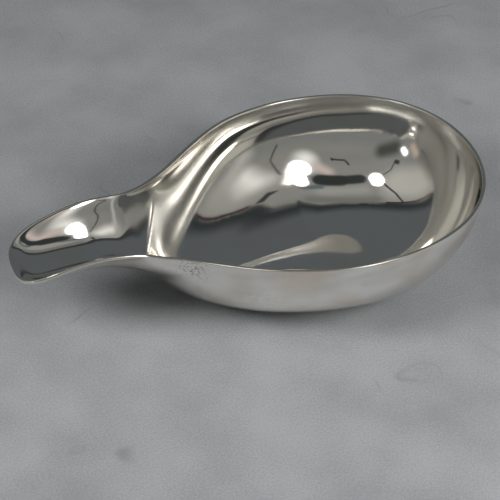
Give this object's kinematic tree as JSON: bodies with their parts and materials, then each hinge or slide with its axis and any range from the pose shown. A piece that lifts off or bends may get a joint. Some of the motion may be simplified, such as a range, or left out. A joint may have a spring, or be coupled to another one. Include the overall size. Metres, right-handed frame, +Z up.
{
  "type": "pap boat",
  "caption": "Small silver feeding boat: an egg-shaped open bowl drawn out into a gutter spout, raised from one sheet, with a plain rim and a flat foot.",
  "frame": {"origin": "middle of the overall length and width, on the flat foot that the boat stands on", "axes": "+X along the boat from the lip of the spout to the far end of the bowl, +Y across the boat, +Z up out of the bowl"},
  "size_m": [0.114, 0.0662, 0.0263],
  "materials": {
    "silver": "hand-polished sterling silver, mirror bright inside, softer and slightly warm with age outside"
  },
  "bodies": {
    "root": {"boat": "silver"}
  },
  "joints": []
}
